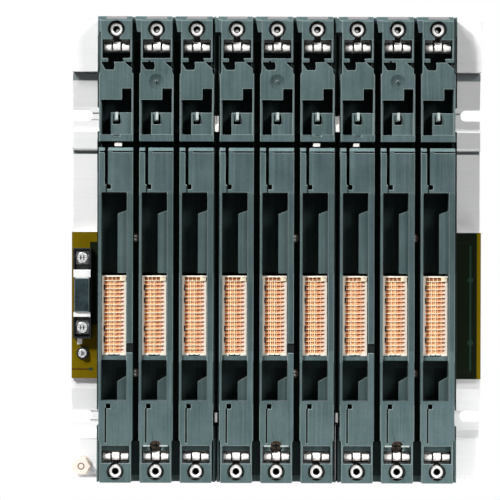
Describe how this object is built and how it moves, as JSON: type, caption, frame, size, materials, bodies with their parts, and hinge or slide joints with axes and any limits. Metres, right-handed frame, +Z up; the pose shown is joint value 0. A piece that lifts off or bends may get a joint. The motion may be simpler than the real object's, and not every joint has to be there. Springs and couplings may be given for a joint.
{
  "type": "plc expansion rack",
  "caption": "wall-mounted expansion rack for controller modules: aluminium extrusion, moulded slot guides, backplane board with bus connectors, threaded bushes and earthing springs",
  "frame": {"origin": "centre of the four wall slots, in the wall plane", "axes": "+X along the rack to the right, +Y into the wall, +Z up"},
  "size_m": [0.2574, 0.0275, 0.29],
  "materials": {
    "aluminium_extrusion": "mill finish extruded aluminium with fine lines along its length",
    "grey_moulding": "fine matt moulded plastic, blue-green grey",
    "board_laminate": "glass laminate under olive solder resist, copper fields darker",
    "cream_housing": "cream moulded connector plastic",
    "gold_contacts": "gold plated spring contacts",
    "bright_spring": "tinned spring sheet",
    "nickel_bush": "turned and nickel plated steel",
    "zinc_steel": "zinc plated steel",
    "dark_steel": "browned steel",
    "black_moulding": "black moulded plastic"
  },
  "bodies": {
    "root": {"mounting_profile": "aluminium_extrusion", "backplane_board": "board_laminate", "board_screws": "zinc_steel", "guide_frame_screws": "dark_steel", "guide_frame_left": "grey_moulding", "guide_frame_centre": "grey_moulding", "guide_frame_right": "grey_moulding", "bus_connector_1": "cream_housing", "bus_connector_2": "cream_housing", "bus_connector_3": "cream_housing", "bus_connector_4": "cream_housing", "bus_connector_5": "cream_housing", "bus_connector_6": "cream_housing", "bus_connector_7": "cream_housing", "bus_connector_8": "cream_housing", "bus_connector_9": "cream_housing", "bus_contacts_1": "gold_contacts", "bus_contacts_2": "gold_contacts", "bus_contacts_3": "gold_contacts", "bus_contacts_4": "gold_contacts", "bus_contacts_5": "gold_contacts", "bus_contacts_6": "gold_contacts", "bus_contacts_7": "gold_contacts", "bus_contacts_8": "gold_contacts", "bus_contacts_9": "gold_contacts", "upper_earth_spring_1": "bright_spring", "upper_earth_spring_2": "bright_spring", "upper_earth_spring_3": "bright_spring", "upper_earth_spring_4": "bright_spring", "upper_earth_spring_5": "bright_spring", "upper_earth_spring_6": "bright_spring", "upper_earth_spring_7": "bright_spring", "upper_earth_spring_8": "bright_spring", "upper_earth_spring_9": "bright_spring", "lower_earth_spring_1": "bright_spring", "lower_earth_spring_2": "bright_spring", "lower_earth_spring_3": "bright_spring", "lower_earth_spring_4": "bright_spring", "lower_earth_spring_5": "bright_spring", "lower_earth_spring_6": "bright_spring", "lower_earth_spring_7": "bright_spring", "lower_earth_spring_8": "bright_spring", "lower_earth_spring_9": "bright_spring", "upper_threaded_bushes": "nickel_bush", "lower_threaded_bushes": "nickel_bush", "terminal_base": "black_moulding", "terminal_clamps": "zinc_steel", "terminal_screws": "zinc_steel", "jumper_link": "bright_spring", "jumper_sleeve": "black_moulding", "earth_screw": "zinc_steel", "earth_washer": "black_moulding", "earth_spacer": "zinc_steel", "ground_bolt": "zinc_steel", "ground_lock_washer": "zinc_steel", "ground_flat_washer": "zinc_steel"}
  },
  "joints": []
}
